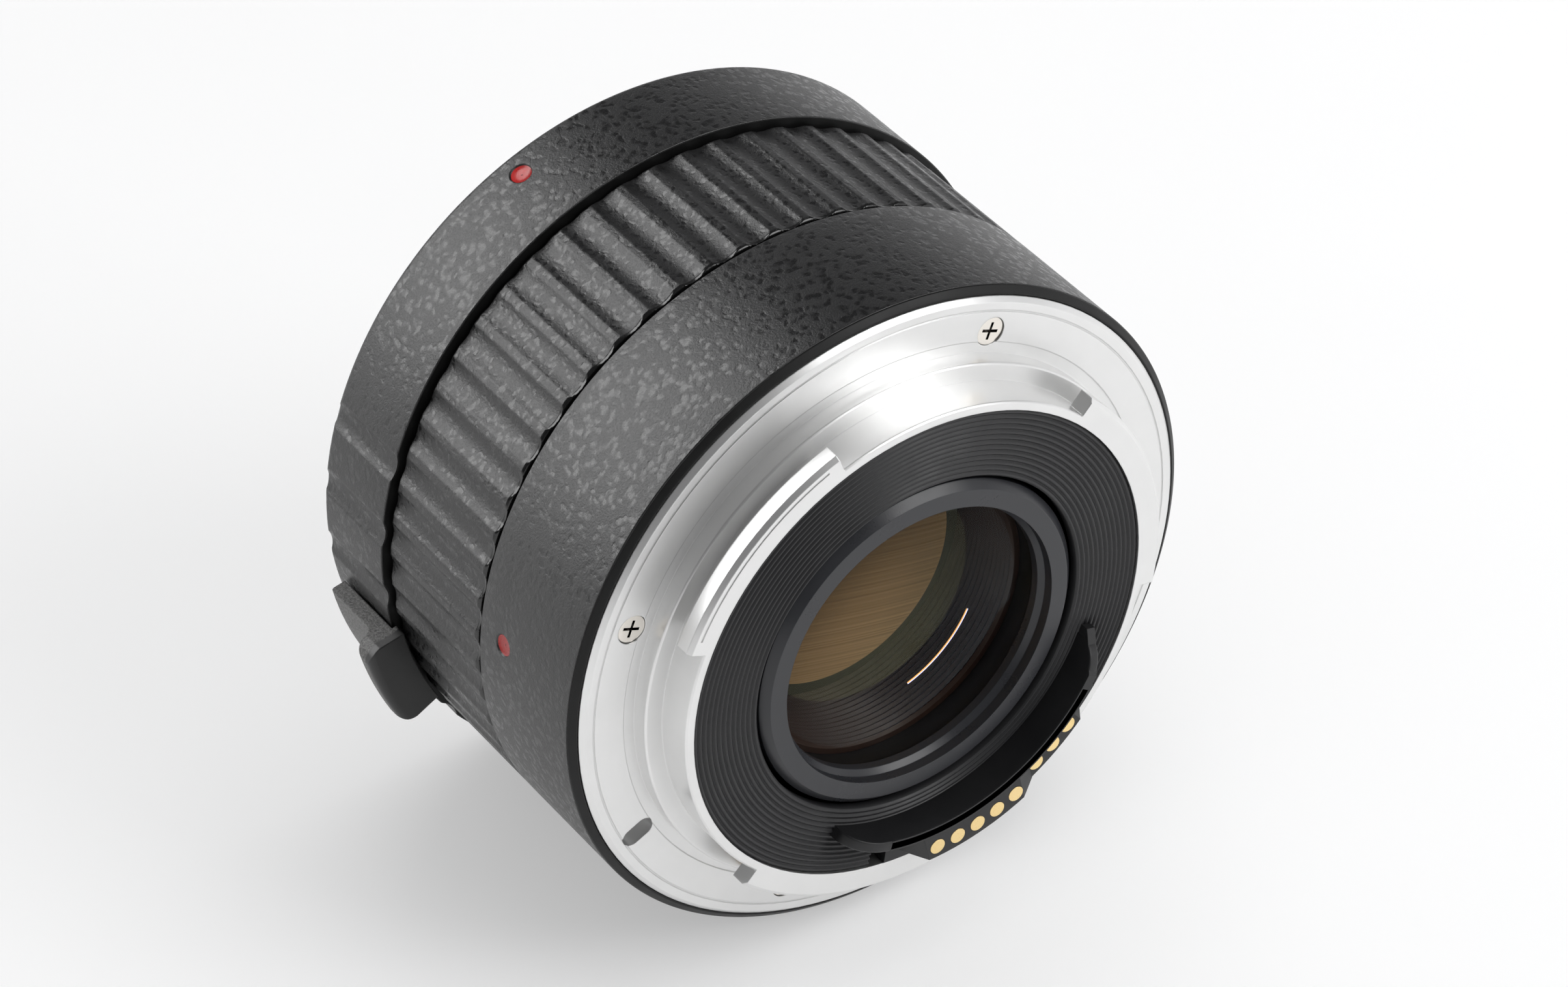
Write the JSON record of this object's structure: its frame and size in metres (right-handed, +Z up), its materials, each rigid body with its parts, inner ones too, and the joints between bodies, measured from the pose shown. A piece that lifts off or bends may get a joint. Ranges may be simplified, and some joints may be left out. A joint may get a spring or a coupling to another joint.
{
  "type": "camera teleconverter",
  "caption": "Short cylindrical lens converter with a male bayonet at the back, a female bayonet in front, a fluted grip and a sliding release lever.",
  "frame": {"origin": "centre of the rear flange face, on the optical axis", "axes": "-Y along the optical axis towards the camera, +Y towards the lens, +Z up with the part lying on its side"},
  "size_m": [0.0707, 0.0513, 0.068],
  "materials": {
    "barrel_paint": "dark hammertone paint, semi-gloss",
    "grip_paint": "dark textured paint over flutes",
    "chassis_metal": "black anodised",
    "mark_red": "red enamel",
    "mount_chrome": "satin turned chrome",
    "shim_steel": "rolled sheet",
    "screw_nickel": "nickel plated",
    "stop_brass": "plain brass",
    "baffle_black": "black moulding",
    "contact_plastic": "black moulding",
    "contact_gold": "gold plated",
    "spring_steel": "drawn wire",
    "lever_black": "black paint over a casting",
    "slider_steel": "milled steel",
    "cell_black": "black anodised",
    "ring_grey": "grey anodised",
    "optical_glass": "coated",
    "board_green": "solder mask",
    "chip_black": "epoxy",
    "flex_amber": "polyimide film"
  },
  "bodies": {
    "body": {"rear_barrel": "barrel_paint", "front_collar": "barrel_paint", "grip_ring": "grip_paint", "front_frame": "chassis_metal", "chassis": "chassis_metal", "rear_index_dot": "mark_red", "front_index_dot": "mark_red", "rear_bayonet": "mount_chrome", "front_bayonet": "mount_chrome", "rear_shim": "shim_steel", "front_shim": "shim_steel", "front_leaf_springs": "shim_steel", "rear_mount_screws": "screw_nickel", "front_mount_screws": "screw_nickel", "rear_block_screws": "screw_nickel", "front_block_screws": "screw_nickel", "cell_screws": "screw_nickel", "board_screws": "screw_nickel", "bayonet_stop_pin": "stop_brass", "rear_baffle": "baffle_black", "front_baffle": "baffle_black", "rear_contact_block": "contact_plastic", "front_contact_block": "contact_plastic", "rear_contact_pads": "contact_gold", "contact_pin_springs": "spring_steel", "release_spring": "spring_steel", "lens_cell": "cell_black", "front_retaining_ring": "cell_black", "core_retaining_ring": "cell_black", "mid_spacer": "cell_black", "rear_spacer": "cell_black", "rear_retaining_ring": "ring_grey", "lens_element_1": "optical_glass", "lens_element_2": "optical_glass", "lens_element_3": "optical_glass", "lens_element_4": "optical_glass", "lens_element_5": "optical_glass", "lens_element_6": "optical_glass", "circuit_board": "board_green", "board_chips": "chip_black", "front_flex": "flex_amber", "rear_flex": "flex_amber"},
    "lever": {"release_lever": "lever_black", "lock_slider": "slider_steel", "lock_pin": "slider_steel", "lever_screws": "screw_nickel"},
    "contact_pin_1": {"front_contact_pin_1": "contact_gold"},
    "contact_pin_2": {"front_contact_pin_2": "contact_gold"},
    "contact_pin_3": {"front_contact_pin_3": "contact_gold"},
    "contact_pin_4": {"front_contact_pin_4": "contact_gold"},
    "contact_pin_5": {"front_contact_pin_5": "contact_gold"},
    "contact_pin_6": {"front_contact_pin_6": "contact_gold"},
    "contact_pin_7": {"front_contact_pin_7": "contact_gold"},
    "contact_pin_8": {"front_contact_pin_8": "contact_gold"}
  },
  "joints": [
    {"name": "lever_slide", "type": "slide", "parent": "body", "child": "lever", "axis": [0, -1, 0], "range_m": [0, 0.002], "stiffness_N_per_m": 400, "springref_m": -0.002, "deforming": ["release_spring"]},
    {"name": "contact_pin_1_press", "type": "slide", "parent": "body", "child": "contact_pin_1", "axis": [0, -1, 0], "range_m": [0, 0.001], "stiffness_N_per_m": 300, "springref_m": -0.001, "deforming": ["contact_pin_springs"]},
    {"name": "contact_pin_2_press", "type": "slide", "parent": "body", "child": "contact_pin_2", "axis": [0, -1, 0], "range_m": [0, 0.001], "stiffness_N_per_m": 300, "springref_m": -0.001, "deforming": ["contact_pin_springs"]},
    {"name": "contact_pin_3_press", "type": "slide", "parent": "body", "child": "contact_pin_3", "axis": [0, -1, 0], "range_m": [0, 0.001], "stiffness_N_per_m": 300, "springref_m": -0.001, "deforming": ["contact_pin_springs"]},
    {"name": "contact_pin_4_press", "type": "slide", "parent": "body", "child": "contact_pin_4", "axis": [0, -1, 0], "range_m": [0, 0.001], "stiffness_N_per_m": 300, "springref_m": -0.001, "deforming": ["contact_pin_springs"]},
    {"name": "contact_pin_5_press", "type": "slide", "parent": "body", "child": "contact_pin_5", "axis": [0, -1, 0], "range_m": [0, 0.001], "stiffness_N_per_m": 300, "springref_m": -0.001, "deforming": ["contact_pin_springs"]},
    {"name": "contact_pin_6_press", "type": "slide", "parent": "body", "child": "contact_pin_6", "axis": [0, -1, 0], "range_m": [0, 0.001], "stiffness_N_per_m": 300, "springref_m": -0.001, "deforming": ["contact_pin_springs"]},
    {"name": "contact_pin_7_press", "type": "slide", "parent": "body", "child": "contact_pin_7", "axis": [0, -1, 0], "range_m": [0, 0.001], "stiffness_N_per_m": 300, "springref_m": -0.001, "deforming": ["contact_pin_springs"]},
    {"name": "contact_pin_8_press", "type": "slide", "parent": "body", "child": "contact_pin_8", "axis": [0, -1, 0], "range_m": [0, 0.001], "stiffness_N_per_m": 300, "springref_m": -0.001, "deforming": ["contact_pin_springs"]}
  ]
}
